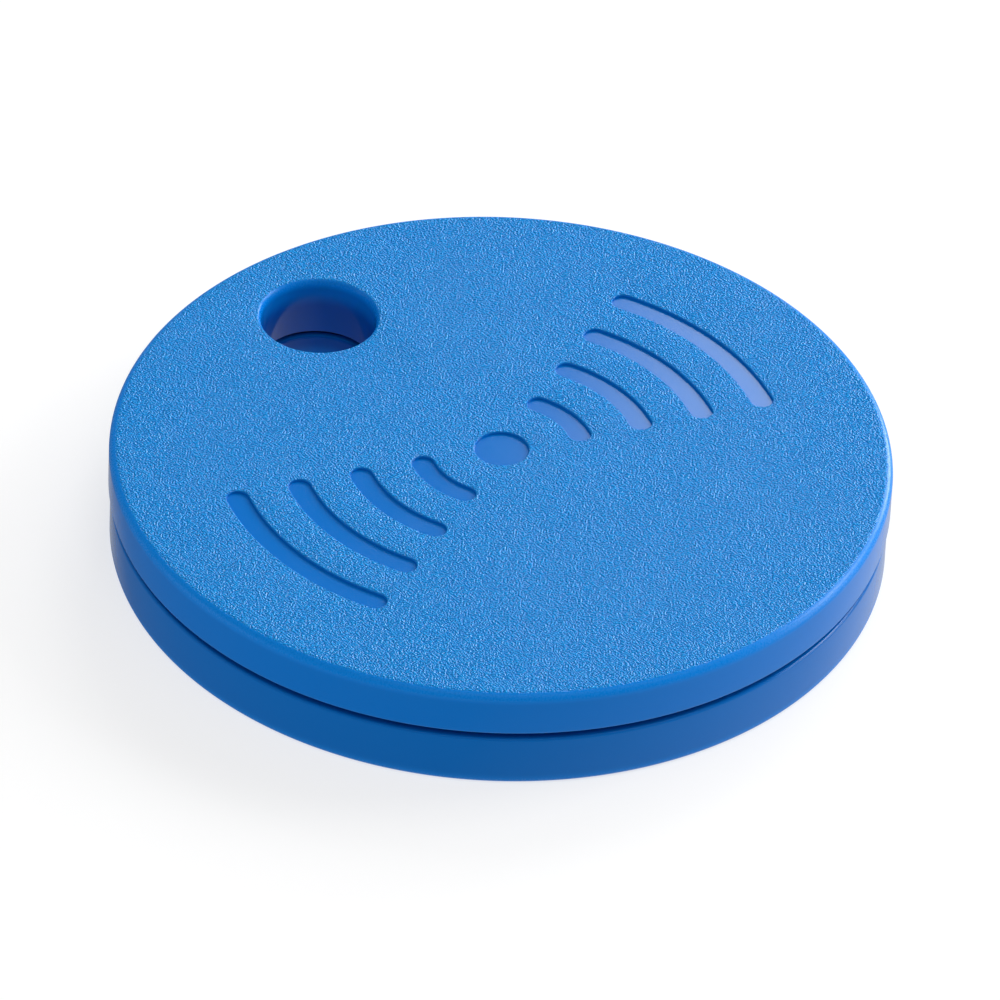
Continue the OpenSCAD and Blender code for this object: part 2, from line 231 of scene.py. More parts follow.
def loft(name, loops):
    """A closed skin through loops of points that match one to one, with both ends capped."""
    count = len(loops[0])
    points = [point for loop in loops for point in loop]
    faces = [tuple(range(count)), tuple(range(len(points) - count, len(points)))]
    for k in range(len(loops) - 1):
        for i in range(count):
            j = (i + 1) % count
            here = k * count
            there = here + count
            faces.append((here + i, here + j, there + j, there + i))
    return new_piece(name, points, faces)


def sector(name, outline, middle, span, at=(0, 0), steps=24):
    """Part of a turned outline, span degrees wide."""
    loops = []
    for k in range(steps + 1):
        turn = radians(middle + span * (k / steps - 0.5))
        loops.append([(at[0] + r * cos(turn), at[1] + r * sin(turn), z) for r, z in outline])
    return loft(name, loops)


def rectangle(x, y, corner):
    """The outline of a rounded rectangle about the origin."""
    return rounded([(side * x / 2, end * y / 2, corner) for side, end in
                    [(1, -1), (1, 1), (-1, 1), (-1, -1)]], 4)


def soft_block(name, x, y, low, high, corner=0.08, edge=0.05):
    """A block with round corners and a rounded upper edge."""
    loops = [[(*p, low) for p in rectangle(x, y, corner)]]
    for k in range(5):
        turn = pi / 2 * k / 4
        inset = edge * (1 - cos(turn))
        outline = rectangle(x - 2 * inset, y - 2 * inset, max(corner - inset, 0.01))
        loops.append([(*p, high - edge * (1 - sin(turn))) for p in outline])
    return loft(name, loops)


def band(name, path, thick, width):
    """Sheet metal: an open path in the XZ plane with a thickness, width wide along Y, its edges eased."""
    left, right = [], []
    for i, point in enumerate(path):
        ahead = Vector(path[min(i + 1, len(path) - 1)]) - Vector(path[max(i - 1, 0)])
        normal = Vector((-ahead.y, ahead.x)).normalized() * thick / 2
        left.append(Vector(point) + normal)
        right.append(Vector(point) - normal)
    outline = left + right[::-1]
    centre = [(a + b) / 2 for a, b in zip(left, right)]
    middle = centre + centre[::-1]
    ease = thick * 0.2
    loops = []
    for y, inset in ((-width / 2, ease), (ease - width / 2, 0), (width / 2 - ease, 0), (width / 2, ease)):
        loops.append([(p.x + (m.x - p.x) * inset * 2 / thick, y, p.y + (m.y - p.y) * inset * 2 / thick)
                      for p, m in zip(outline, middle)])
    return loft(name, loops)


def arc(centre, radius, first, last, steps=16):
    """Points along part of a circle, from one angle to another."""
    angles = [radians(first + (last - first) * k / steps) for k in range(steps + 1)]
    return [(centre[0] + radius * cos(a), centre[1] + radius * sin(a)) for a in angles]


def place(piece, angle=0, radius=0, lift=0, at=(0, 0)):
    """Moves a piece's mesh out along X, turns it about the vertical axis and sets it down at a spot."""
    move = (Matrix.Translation((at[0] * MM, at[1] * MM, lift * MM))
            @ Matrix.Rotation(radians(angle), 4, "Z") @ Matrix.Translation((radius * MM, 0, 0)))
    piece.data.transform(move)
    return piece


def bake(piece):
    """Puts the result of a piece's modifiers into its mesh."""
    graph = bpy.context.evaluated_depsgraph_get()
    done = bpy.data.meshes.new_from_object(piece.evaluated_get(graph))
    piece.modifiers.clear()
    piece.data = done


def combine(piece, others, how):
    """Adds the other solids to a piece (UNION) or cuts them out of it (DIFFERENCE)."""
    for other in others:
        step = piece.modifiers.new("combine", "BOOLEAN")
        step.operation = how
        step.solver = "MANIFOLD"
        step.object = other
    bake(piece)
    for other in others:
        bpy.data.objects.remove(other)
    return piece


def join(name, pieces):
    """One piece out of several that stay separate shells."""
    with bpy.context.temp_override(active_object=pieces[0], selected_editable_objects=pieces):
        bpy.ops.object.join()
    pieces[0].name = name
    return pieces[0]


def dress(piece, look, body, nodes=()):
    """Shades a piece, gives it its material and its body, and hides the CAD nodes that it stands for."""
    piece.data.shade_smooth()
    piece.data.set_sharp_from_angle(angle=radians(CREASE))
    piece.data.materials.clear()
    piece.data.materials.append(look)
    even = piece.modifiers.new("even", "WEIGHTED_NORMAL")
    even.keep_sharp = True
    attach(piece, body)
    if nodes:
        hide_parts(*nodes)
    return piece


def give_way(piece):
    """Gives a sprung piece a mesh of its own."""
    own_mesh(piece)


# ------------------------------------------------------------------ materials


class Look:
    """A node material around one Principled shader, with textures in millimetres."""

    def __init__(self, name, colour, roughness, metallic=0.0, specular=0.5, coat=0.0):
        self.material = bpy.data.materials.new(name)
        self.material.use_nodes = True
        self.tree = self.material.node_tree
        self.shader = self.tree.nodes["Principled BSDF"]
        self.colour = colour
        self.shader.inputs["Base Color"].default_value = (*colour, 1)
        self.shader.inputs["Roughness"].default_value = roughness
        self.shader.inputs["Metallic"].default_value = metallic
        self.shader.inputs["Specular IOR Level"].default_value = specular
        self.shader.inputs["Coat Weight"].default_value = coat
        coords = self.node("ShaderNodeTexCoord")
        scale = self.node("ShaderNodeVectorMath", operation="SCALE")
        scale.inputs["Scale"].default_value = 1 / MM
        self.join(coords.outputs["Object"], scale.inputs[0])
        self.mm = scale.outputs[0]

    def node(self, kind, **settings):
        node = self.tree.nodes.new(kind)
        for key, value in settings.items():
            setattr(node, key, value)
        return node

    def join(self, source, socket):
        """Links an output to a socket, or sets the socket to a number."""
        if isinstance(source, (int, float)):
            socket.default_value = source
        else:
            self.tree.links.new(source, socket)

    def math(self, how, a, b=0.0):
        node = self.node("ShaderNodeMath", operation=how)
        self.join(a, node.inputs[0])
        self.join(b, node.inputs[1])
        return node.outputs[0]

    def spread(self, value, low, high, start=0.0, end=1.0, smooth=False):
        """A value that runs from low to high, taken to the range start to end."""
        node = self.node("ShaderNodeMapRange", interpolation_type="SMOOTHSTEP" if smooth else "LINEAR")
        for socket, source in zip(node.inputs, (value, low, high, start, end)):
            self.join(source, socket)
        return node.outputs[0]

    def axis(self, letter):
        """One coordinate in millimetres."""
        node = self.node("ShaderNodeSeparateXYZ")
        self.join(self.mm, node.inputs[0])
        return node.outputs[letter]

    def radius(self, at=(0, 0)):
        """Distance from the vertical axis through a spot."""
        x = self.math("SUBTRACT", self.axis("X"), at[0])
        y = self.math("SUBTRACT", self.axis("Y"), at[1])
        return self.math("SQRT", self.math("ADD", self.math("MULTIPLY", x, x), self.math("MULTIPLY", y, y)))

    def noise(self, size, detail=2.0, rough=0.5, stretch=(1, 1, 1)):
        """Noise whose features are about size millimetres, longer along an axis by its stretch."""
        scale = self.node("ShaderNodeVectorMath", operation="DIVIDE")
        self.join(self.mm, scale.inputs[0])
        scale.inputs[1].default_value = [size * s for s in stretch]
        node = self.node("ShaderNodeTexNoise")
        node.inputs["Scale"].default_value = 1
        node.inputs["Detail"].default_value = detail
        node.inputs["Roughness"].default_value = rough
        self.join(scale.outputs[0], node.inputs["Vector"])
        return node.outputs[0]

    def cells(self, size):
        """Voronoi cells about size millimetres across."""
        node = self.node("ShaderNodeTexVoronoi")
        node.inputs["Scale"].default_value = 1 / size
        self.join(self.mm, node.inputs["Vector"])
        return node.outputs["Distance"]

    def colours(self, share, first, second):
        """A mix of two colours, each a triple or another node's output."""
        node = self.node("ShaderNodeMix", data_type="RGBA")
        self.join(share, node.inputs[0])
        for socket, colour in ((node.inputs[6], first), (node.inputs[7], second)):
            if isinstance(colour, tuple):
                socket.default_value = (*colour, 1)
            else:
                self.join(colour, socket)
        return node.outputs[2]

    def tint(self, value, dark, light):
        """Paints the base colour from dark to light by a value from 0 to 1."""
        self.join(self.colours(value, tuple(dark), tuple(light)), self.shader.inputs["Base Color"])

    def blend(self, share, first, second):
        """A mix of two values."""
        node = self.node("ShaderNodeMix")
        self.join(share, node.inputs[0])
        self.join(first, node.inputs[2])
        self.join(second, node.inputs[3])
        return node.outputs[0]

    def vary(self, value, amount):
        """Shades the base colour by a value from 0 to 1, up to amount either way."""
        dark = [c * (1 - amount) for c in self.colour]
        light = [min(c * (1 + amount), 1) for c in self.colour]
        self.tint(value, dark, light)

    def gloss(self, value, smooth, rough):
        self.join(self.spread(value, 0.3, 0.7, smooth, rough), self.shader.inputs["Roughness"])

    def relief(self, height, depth):
        """Raises the surface by up to depth millimetres where the height is 1."""
        node = self.node("ShaderNodeBump")
        node.inputs["Distance"].default_value = depth * MM
        self.join(height, node.inputs["Height"])
        self.join(node.outputs[0], self.shader.inputs["Normal"])


POLISHED_BLUE = (0.0003, 0.158, 0.56)
# painted light: the rounded edges of both shells are made this lighter blue
EDGE_PAINTED_LIGHT_BLUE = (0.0003, 0.215, 0.72)
# painted shade: the inside of the key-ring hole is made this darker blue
BORE_PAINTED_SHADE_BLUE = (0.0003, 0.074, 0.36)
# the grain's two blues: darker in the pits, a painted shade, and lighter on the peaks, a painted highlight;
# both lie above the polished blue, partly a painted sheen
PIT_PAINTED_SHADE_BLUE = (0.0004, 0.185, 0.61)
PEAK_PAINTED_SHEEN_BLUE = (0.005, 0.3, 0.77)
REAR_PAINTED_SHADE = 0.85               # painted shade: the rear shell's blues are made a little darker


def shell_plastic(name, face_z, outward, shade=1.0):
    """Moulded blue plastic: a spark-eroded grain on the flat face, polished everywhere else.

    It has painted light at the rounded edges, a lighter blue, and painted shade deep inside the hole, a
    darker blue, as the photo shows them.
    """
    # shade darkens every blue of this material, a painted shade; 1.0 leaves them as they are
    def shaded(blue):
        return tuple(shade * value for value in blue)

    look = Look(name, shaded(POLISHED_BLUE), 0.2, specular=0.24)
    height = look.math("MULTIPLY", look.math("SUBTRACT", look.axis("Z"), face_z), outward)
    grained = look.spread(height, -0.035, -0.006, smooth=True)
    fine = look.noise(0.085, 0)
    broad = look.noise(0.2, 1)
    grain = look.math("ADD", look.math("MULTIPLY", fine, 0.85), look.math("MULTIPLY", broad, 0.3))
    centred = look.math("SUBTRACT", grain, 0.575)

    from_hole = look.radius(HOLE)
    # rim and mouth mark where the painted light goes: the shells' rounded edge and the hole's mouth, fading
    # down from the face
    rim = look.spread(look.radius(), FRONT_R - 0.6, FRONT_R - 0.3)
    mouth = look.spread(from_hole, HOLE_R + 0.35, HOLE_R + 0.25)
    edge = look.math("MULTIPLY", look.math("MAXIMUM", rim, mouth),
                     look.spread(height, -0.55, -0.15, smooth=True))
    # painted shade: the blue darkens with depth inside the key-ring hole
    painted_bore_shade = look.math("MULTIPLY", look.spread(from_hole, HOLE_R + 0.15, HOLE_R + 0.05),
                     look.spread(height, -0.65, -1.5, smooth=True))
    # painted light at the rounded edges, then painted shade down inside the key-ring hole
    base = look.colours(edge, shaded(POLISHED_BLUE), shaded(EDGE_PAINTED_LIGHT_BLUE))
    base = look.colours(painted_bore_shade, base, shaded(BORE_PAINTED_SHADE_BLUE))
    # painted highlight on the grain's peaks and painted shade in its pits, following the fine noise that also
    # raises the relief
    face = look.colours(look.spread(fine, 0.35, 0.65), shaded(PIT_PAINTED_SHADE_BLUE), shaded(PEAK_PAINTED_SHEEN_BLUE))
    look.join(look.colours(grained, base, face), look.shader.inputs["Base Color"])

    polish = look.spread(look.noise(3, 4, 0.6), 0.3, 0.7, 0.11, 0.14)
    matt = look.spread(fine, 0.3, 0.7, 0.34, 0.24)
    dull = look.math("MAXIMUM", grained, edge)
    look.join(look.blend(dull, polish, matt), look.shader.inputs["Roughness"])
    look.relief(look.math("MULTIPLY", centred, grained), 0.13)
    return look.material


def seal_rubber():
    look = Look("seal_rubber", (0.006, 0.035, 0.12), 0.6, specular=0.3)
    look.vary(look.noise(1.5, 3), 0.15)
    look.gloss(look.noise(0.4, 3), 0.5, 0.7)
    look.relief(look.noise(0.08, 2), 0.006)
    return look.material


def solder_mask():
    """Green lacquer over the board's weave."""
    look = Look("solder_mask", (0.012, 0.12, 0.055), 0.35, coat=0.15)
    look.vary(look.noise(2.5, 3), 0.12)
    look.gloss(look.noise(1.2, 4), 0.28, 0.42)
    look.relief(look.noise(0.12, 2), 0.003)
    return look.material


def raised_mask():
    """The same lacquer where copper lies under it, a little lighter."""
    look = Look("raised_mask", (0.02, 0.19, 0.085), 0.32, coat=0.15)
    look.vary(look.noise(1.5, 3), 0.1)
    look.gloss(look.noise(0.6, 4), 0.26, 0.4)
    look.relief(look.noise(0.1, 2), 0.003)
    return look.material


def laminate():
    """The board's sawn edge: pale glass fibre in resin, in layers."""
    look = Look("laminate", (0.42, 0.4, 0.2), 0.7)
    layers = look.noise(0.06, 3, stretch=(8, 8, 1))
    look.tint(layers, (0.3, 0.3, 0.14), (0.55, 0.52, 0.3))
    look.relief(layers, 0.01)
    return look.material


def gilded(name, colour=(0.9, 0.66, 0.32), size=0.6):
    """Plated sheet metal with fine rolling lines."""
    look = Look(name, colour, 0.28, metallic=1)
    lines = look.noise(size, 3, stretch=(1, 0.06, 1))
    look.vary(look.noise(1.1, 3), 0.05)
    look.gloss(lines, 0.24, 0.32)
    look.relief(lines, 0.0005)
    return look.material


def turned_steel(name, at, colour=(0.62, 0.62, 0.6)):
    """Nickel-plated steel with rings left by the press."""
    look = Look(name, colour, 0.3, metallic=1)
    rings = look.node("ShaderNodeTexNoise", noise_dimensions="1D")
    look.join(look.math("MULTIPLY", look.radius(at), 9), rings.inputs["W"])
    rings.inputs["Scale"].default_value = 1
    rings.inputs["Detail"].default_value = 4
    look.vary(look.noise(2.5, 3), 0.04)
    look.gloss(rings.outputs[0], 0.25, 0.31)
    look.relief(rings.outputs[0], 0.001)
    return look.material


def chip_plastic():
    """Epoxy moulding compound, matt with glittering filler."""
    look = Look("chip_plastic", (0.02, 0.02, 0.022), 0.55)
    look.vary(look.noise(0.05, 2), 0.4)
    look.gloss(look.noise(0.3, 3), 0.5, 0.65)
    look.relief(look.noise(0.05, 2), 0.003)
    return look.material


def fired_ceramic(name, colour, roughness=0.5):
    grain = 0.05
    look = Look(name, colour, roughness)
    look.vary(look.noise(grain * 4, 3), 0.1)
    look.gloss(look.noise(grain * 6, 3), roughness - 0.08, roughness + 0.08)
    look.relief(look.noise(grain, 2), 0.002)
    return look.material


def copper_wire():
    look = Look("copper_wire", (0.8, 0.34, 0.16), 0.25, metallic=1, coat=0.4)
    look.vary(look.noise(0.3, 3), 0.12)
    look.gloss(look.noise(0.15, 3), 0.2, 0.34)
    look.relief(look.noise(0.06, 2), 0.001)
    return look.material


def dark_plastic(name, colour=(0.03, 0.03, 0.033)):
    look = Look(name, colour, 0.5, specular=0.4)
    look.vary(look.noise(0.6, 3), 0.15)
    look.gloss(look.noise(0.2, 3), 0.42, 0.58)
    look.relief(look.noise(0.05, 2), 0.003)
    return look.material


def silvered_ceramic():
    """Grey ceramic with a silver electrode fired on it, short of the edge."""
    look = Look("silvered_ceramic", (0.7, 0.7, 0.68), 0.5)
    edge = look.math("ADD", look.radius(PIEZO), look.math("MULTIPLY", look.noise(0.5, 3), 0.08))
    silver = look.spread(edge, CERAMIC_R - 0.42, CERAMIC_R - 0.38, 1, 0)
    look.tint(silver, (0.45, 0.42, 0.36), (0.82, 0.82, 0.8))
    look.join(silver, look.shader.inputs["Metallic"])
    look.join(look.spread(look.noise(0.15, 4), 0.3, 0.7, 0.38, 0.55), look.shader.inputs["Roughness"])
    look.relief(look.noise(0.1, 3), 0.002)
    return look.material


def foam():
    look = Look("foam", (0.035, 0.035, 0.038), 0.95, specular=0.2)
    pores = look.cells(0.16)
    # painted shade: the pores are darker where the relief sinks
    look.tint(look.spread(pores, 0.1, 0.7), (0.012, 0.012, 0.013), (0.06, 0.06, 0.064))
    look.relief(pores, 0.05)
    return look.material


def adhesive():
    look = Look("adhesive", (0.75, 0.68, 0.45), 0.35, specular=0.4)
    look.vary(look.noise(0.9, 3), 0.12)
    look.gloss(look.noise(0.4, 3), 0.25, 0.5)
    look.relief(look.noise(0.3, 3), 0.01)
    return look.material


# ------------------------------------------------------------------ shells


def hole_cutter(mouth_z, outward, far_z):
    """The key-ring hole, rounded deep where it opens in the plane mouth_z and a little at far_z."""
    profile = [(0, far_z - outward * OVER), (HOLE_R + FINE, far_z - outward * OVER)]
    for k in range(6):
        turn = pi / 2 * k / 5
        profile.append((HOLE_R + FINE * (1 - sin(turn)), far_z + outward * FINE * (1 - cos(turn))))
    for k in range(17):
        turn = pi / 2 * k / 16
        profile.append((HOLE_R + HOLE_ROUND * (1 - cos(turn)),
                        mouth_z - outward * HOLE_DEEP * (1 - sin(turn))))
    profile += [(HOLE_R + HOLE_ROUND, mouth_z + outward * OVER), (0, mouth_z + outward * OVER)]
    return revolve("hole_cutter", profile, 240, HOLE)


def mark_levels():
    """Height and widening of the mark's outline, from its floor up through its rounded lip."""
    levels = [(TOP - MARK_DEPTH, 0)]
    levels += [(TOP - MARK_LIP * (1 - sin(pi / 2 * k / 6)), MARK_LIP * (1 - cos(pi / 2 * k / 6)))
               for k in range(7)]
    return levels + [(TOP + OVER, MARK_LIP)]


def stroke_outline(radius, half):
    """An arc about the centre, twice half wide and round at both ends."""
    reach = MARK_ANGLE
    first, last = [(radius * cos(radians(a)), radius * sin(radians(a))) for a in (-reach, reach)]
    outline = arc((0, 0), radius + half, -reach, reach, 96)
    outline += arc(last, half, reach, reach + 180, 24)[1:-1]
    outline += arc((0, 0), radius - half, reach, -reach, 96)
    return outline + arc(first, half, 180 - reach, 360 - reach, 24)[1:-1]


def mark_cutters():
    levels = mark_levels()
    dot = [(0, levels[0][0])] + [(DOT_R + grow, z) for z, grow in levels] + [(0, levels[-1][0])]
    cutters = [revolve("dot_cutter", dot, 96)]
    for side in (0, 180):
        for radius in MARK_RADII:
            loops = [[(*p, z) for p in stroke_outline(radius, MARK_HALF + grow)] for z, grow in levels]
            cutters.append(place(loft("stroke_cutter", loops), side))
    return cutters


def front_shell():
    skin = rounded([(0, ROOF), (SKIRT_IN, ROOF, FINE), (SKIRT_IN, FRONT_LOW, FINE),
                    (FRONT_R, FRONT_LOW, EDGE_ROUND), (FRONT_R, TOP, FRONT_ROUND), (0, TOP)], 14)
    shell = revolve("front_shell", skin, 720)
    up = ROOF + OVER
    sleeve = rounded([(HOLE_R - OVER, SLEEVE_Z), (SLEEVE_R, SLEEVE_Z, FINE), (SLEEVE_R, up),
                      (HOLE_R - OVER, up)])
    rib = rounded([(PLATE_R + 0.2, ROOF - 0.3, FINE), (PLATE_R + 0.7, ROOF - 0.3, FINE),
                   (PLATE_R + 0.7, up), (PLATE_R + 0.2, up)])
    post = rounded([(0, PLUNGER_TOP + 0.02), (1, PLUNGER_TOP + 0.02, 0.12), (1, up), (0, up)])
    hook = rounded([(HOOK_IN, HOOK_LOW, 0.05), (HOOK_OUT, HOOK_LOW, 0.05),
                    (HOOK_TIP, HOOK_LOW + 0.25, 0.03), (HOOK_TIP, HOOK_LOW + 0.35, 0.03),
                    (HOOK_OUT, HOOK_LOW + 0.35), (HOOK_OUT, up), (HOOK_IN, up)], 3)
    parts = [revolve("sleeve", sleeve, 192, HOLE), revolve("rib", rib, 240, PIEZO),
             revolve("post", post, 64, SWITCH)]
    for angle in (0, 90):
        parts.append(place(soft_block("post_rib", 3.6, 0.4, ROOF - 0.3, up, 0.05), angle, at=SWITCH))
    parts += [sector("hook", hook, angle, HOOK_SPAN) for angle in HOOKS]
    combine(shell, parts, "UNION")
    return combine(shell, [hole_cutter(TOP, 1, SLEEVE_Z)] + mark_cutters(), "DIFFERENCE")


def rear_shell():
    skin = rounded([(0, 0), (REAR_R, 0, REAR_ROUND), (REAR_R, REAR_TOP, EDGE_ROUND),
                    (RIM_IN, REAR_TOP, FINE), (RIM_IN, LEDGE_Z, 0.04), (LEDGE_IN, LEDGE_Z, FINE),
                    (LEDGE_IN, WALL, FINE), (0, WALL)], 12)
    shell = revolve("rear_shell", skin, 720)
    low = WALL / 2
    boss = rounded([(0, low), (BOSS_LEDGE_R, low), (BOSS_LEDGE_R, BOSS_LEDGE_Z, FINE),
                    (BOSS_R, BOSS_LEDGE_Z, 0.04), (BOSS_R, BOSS_Z, FINE), (0, BOSS_Z)])
    catch = rounded([(CATCH_IN, CATCH_LOW, 0.03), (CATCH_OUT, CATCH_LOW), (CATCH_OUT, CATCH_TOP),
                     (CATCH_IN, CATCH_TOP, 0.08)], 3)
    head = BOARD_TOP + 0.3
    stake = rounded([(0, low), (STAKE_R, low), (STAKE_R, BOARD_LOW), (PIN_R, BOARD_LOW), (PIN_R, BOARD_TOP),
                     (PIN_HEAD_R, BOARD_TOP), (PIN_HEAD_R, head, 0.22), (0, head)])
    rest = rounded([(0, low), (REST_R, low), (REST_R, BOARD_LOW, 0.03), (0, BOARD_LOW)])
    fence = rounded([(FENCE_IN, low), (FENCE_OUT, low), (FENCE_OUT, FENCE_TOP, 0.1),
                     (FENCE_IN, FENCE_TOP, 0.16)])
    under_cell = CELL_LOW - 0.02
    pad = rounded([(0, low), (REST_R, low), (REST_R, under_cell, 0.05), (0, under_cell)])
    parts = [revolve("boss", boss, 192, HOLE)]
    parts += [sector("catch", catch, angle, HOOK_SPAN) for angle in HOOKS]
    parts += [place(revolve("stake", stake, 48), angle, radius) for angle, radius in STAKES]
    parts += [place(revolve("rest", rest, 32), angle, radius) for angle, radius in RESTS]
    parts += [sector("fence", fence, middle, span, CELL, 36) for middle, span in FENCE_ARCS]
    parts += [place(revolve("pad", pad, 32), angle, 7.4, at=CELL) for angle in (30, 150, 270)]
    combine(shell, parts, "UNION")
    return combine(shell, [hole_cutter(0, -1, BOSS_Z)], "DIFFERENCE")


def seal(name, at, inner, thick, low, high, steps):
    """A rubber ring with a rounded lip above and below."""
    outline = rounded([(inner, low, 0.08), (inner + thick, low, 0.08),
                       (inner + thick, high, 0.14), (inner, high, 0.14)])
    return revolve(name, outline, steps, at)


front_plastic = shell_plastic("front_plastic", TOP, 1)
rear_plastic = shell_plastic("rear_plastic", 0, -1, REAR_PAINTED_SHADE)
rubber = seal_rubber()
dress(front_shell(), front_plastic, "front", ["front_cover"])
dress(rear_shell(), rear_plastic, "rear_case", ["rear_cover"])
rim_seal = seal("rim_seal", (0, 0), RIM_SEAL_IN, RIM_SEAL_T, LEDGE_Z, RIM_SEAL_TOP, 360)
dress(rim_seal, rubber, "seals", ["perimeter_seal"])
hole_seal = seal("hole_seal", HOLE, HOLE_SEAL_IN, HOLE_SEAL_T, BOSS_LEDGE_Z, HOLE_SEAL_TOP, 128)
dress(hole_seal, rubber, "seals", ["keyhole_seal"])
give_way(rim_seal)
give_way(hole_seal)

# ------------------------------------------------------------------ board and its components


def seat(piece, angle, radius):
    """Sets a piece made at the origin on the board, its X side along the radius."""
    return place(piece, angle, radius, BOARD_TOP)


def circuit_board():
    """The C-shaped blank, open at the key-ring hole, with holes for the stakes."""
    disc = [(0, BOARD_LOW), (BOARD_R, BOARD_LOW), (BOARD_R, BOARD_TOP), (0, BOARD_TOP)]
    blank = revolve("board", disc, 360)
    gap = place(soft_block("gap", BOARD_GAP, 40, 0, CUT_HIGH, 0.5), at=(0, 20))
    space = [(0, 0), (BOARD_CUT_R, 0), (BOARD_CUT_R, CUT_HIGH), (0, CUT_HIGH)]
    cell = revolve("cell_space", space, 240, CELL)
    pin = PIN_R + 0.05
    hole = [(0, 0), (pin, 0), (pin, CUT_HIGH), (0, CUT_HIGH)]
    holes = [place(revolve("stake_hole", hole, 32), angle, radius) for angle, radius in STAKES]
    return combine(blank, [gap, cell] + holes, "DIFFERENCE")


def on_board(angle, radius, margin=0.3):
    """True where the board has room for copper about a spot."""
    x, y = radius * cos(radians(angle)), radius * sin(radians(angle))
    clear_of_cell = sqrt((x - CELL[0]) ** 2 + (y - CELL[1]) ** 2) > BOARD_CUT_R + margin
    clear_of_gap = y < 0 or abs(x) > BOARD_GAP / 2 + margin
    clear_of_stakes = all(sqrt(radius ** 2 + r ** 2 - 2 * radius * r * cos(radians(angle - a))) > 1.1
                          for a, r in STAKES)
    return clear_of_cell and clear_of_gap and clear_of_stakes and radius < BOARD_R - margin


def board_vias():
    """Gold rings of the plated holes: a fence along the rim and a looser row inside it."""
    ring = rounded([(0.09, BOARD_TOP + DIP), (0.2, BOARD_TOP + DIP), (0.2, BOARD_TOP + 0.02, 0.01),
                    (0.09, BOARD_TOP + 0.02)], 2)
    spots = [(angle, 14.8) for angle in range(0, 360, 5)]
    spots += [(angle, 11.35) for angle in range(22, 90, 9)]
    spots += [(angle, 12.4) for angle in range(98, 180, 11)]
    vias = [place(revolve("via", ring, 16), *spot) for spot in spots if on_board(*spot)]
    return join("board_vias", vias)


def trace(radius, first, last, width=0.16):
    """A copper track under the lacquer, along a circle about the tag's axis."""
    top = BOARD_TOP + 0.018
    outline = [(radius - width / 2, BOARD_TOP + DIP), (radius + width / 2, BOARD_TOP + DIP),
               (radius + width / 2 - 0.02, top), (radius - width / 2 + 0.02, top)]
    return sector("trace", outline, (first + last) / 2, last - first, steps=20)


def board_traces():
    tracks = [trace(14.45, 68, 28), trace(14.1, 60, 30), trace(13.05, 330, 300, 0.2),
              trace(13.35, 322, 296, 0.2), trace(13.7, 288, 236), trace(13.4, 284, 232),
              trace(13.1, 262, 228), trace(14.45, 236, 196), trace(14.45, 190, 160),
              trace(11.75, 160, 144), trace(12.0, 158, 146), trace(14.45, 356, 334), trace(14.1, 354, 336)]
    return join("board_traces", tracks)


def chip(name, angle, radius, x, y, h, dimple):
    """A moulded package with a round pin mark near one corner."""
    body = soft_block(name, x, y, 0.03, h, 0.06, 0.04)
    mark = revolve("pin_mark", [(0, h - 0.03), (dimple, h - 0.03), (dimple, h + 0.1), (0, h + 0.1)], 32)
    inset = 0.6 * x / 5
    place(mark, at=(-x / 2 + inset, -y / 2 + inset))
    return seat(combine(body, [mark], "DIFFERENCE"), angle, radius)


def chip_leads(name, angle, radius, side, count, pitch):
    """The tinned ends of a leadless package's contacts along its four sides."""
    leads = []
    for turn in range(0, 360, 90):
        for k in range(count):
            lead = soft_block("lead", 0.36, pitch * 0.5, -0.005, 0.22, 0.03, 0.02)
            along = (k - (count - 1) / 2) * pitch
            leads.append(place(place(lead, 0, side / 2 - 0.16, at=(0, along)), turn))
    return seat(join(name, leads), angle, radius)


def crystal(name, angle, radius, x, y, h):
    """A ceramic tray, and its metal lid with a seam all round."""
    tray = seat(soft_block(name + "_tray", x, y, 0, h * 0.62, 0.06, 0.02), angle, radius)
    flange = soft_block(name + "_lid", x - 0.14, y - 0.14, h * 0.6, h * 0.72, 0.14, 0.02)
    crown = soft_block("crown", x - 0.34, y - 0.34, h * 0.66, h, 0.14, 0.06)
    return tray, seat(combine(flange, [crown], "UNION"), angle, radius)


def passive(angle, radius, h, body_h):
    """A two-ended component: its body, and its wrapped ends with their pads."""
    body = seat(soft_block("body", 0.46, 0.62, 0.02, body_h, 0.03, 0.02), angle, radius)
    ends = [place(soft_block("end", 0.5, 0.24, 0, h, 0.05, 0.045), at=(0, side * 0.38))
            for side in (-1, 1)]
    pads = [place(soft_block("foot", 0.6, 0.36, DIP, 0.03, 0.06, 0.02), at=(0, side * 0.46))
            for side in (-1, 1)]
    return body, [seat(end, angle, radius) for end in ends + pads]


def passives(kind, places, h, body_h):
    """All components of a kind: their bodies as one piece, their ends as another."""
    bodies, ends = [], []
    for angle, radius in places:
        body, metal = passive(angle, radius, h, body_h)
        bodies.append(body)
        ends += metal
    return join(kind + "_bodies", bodies), join(kind + "_ends", ends)


def antenna():
    """A ceramic block with metal ends and a meander printed on top."""
    def line(x, y, at, high=0.795):
        return place(soft_block("antenna_line", x, y, 0.77, high, 0.02, 0.01), at=at)

    block = soft_block("antenna_block", 2, 6.2, 0, 0.78, 0.06, 0.04)
    ends = [place(soft_block("antenna_end", 2.03, 0.58, 0, 0.81, 0.06, 0.05), at=(0, side * 3.2))
            for side in (-1, 1)]
    swing = 0.55
    step = 0.95
    lines = [line(0.22, 0.9, (-swing, -2.45)), line(0.22, 0.9, (swing, 2.45))]
    for k in range(5):
        lines.append(line(1.32, 0.2, (0, (k - 2) * step)))
        if k < 4:
            lines.append(line(0.22, 1.1, (swing if k % 2 else -swing, (k - 1.5) * step), 0.796))
    return seat(block, *ANTENNA), seat(join("antenna_metal", ends + lines), *ANTENNA)


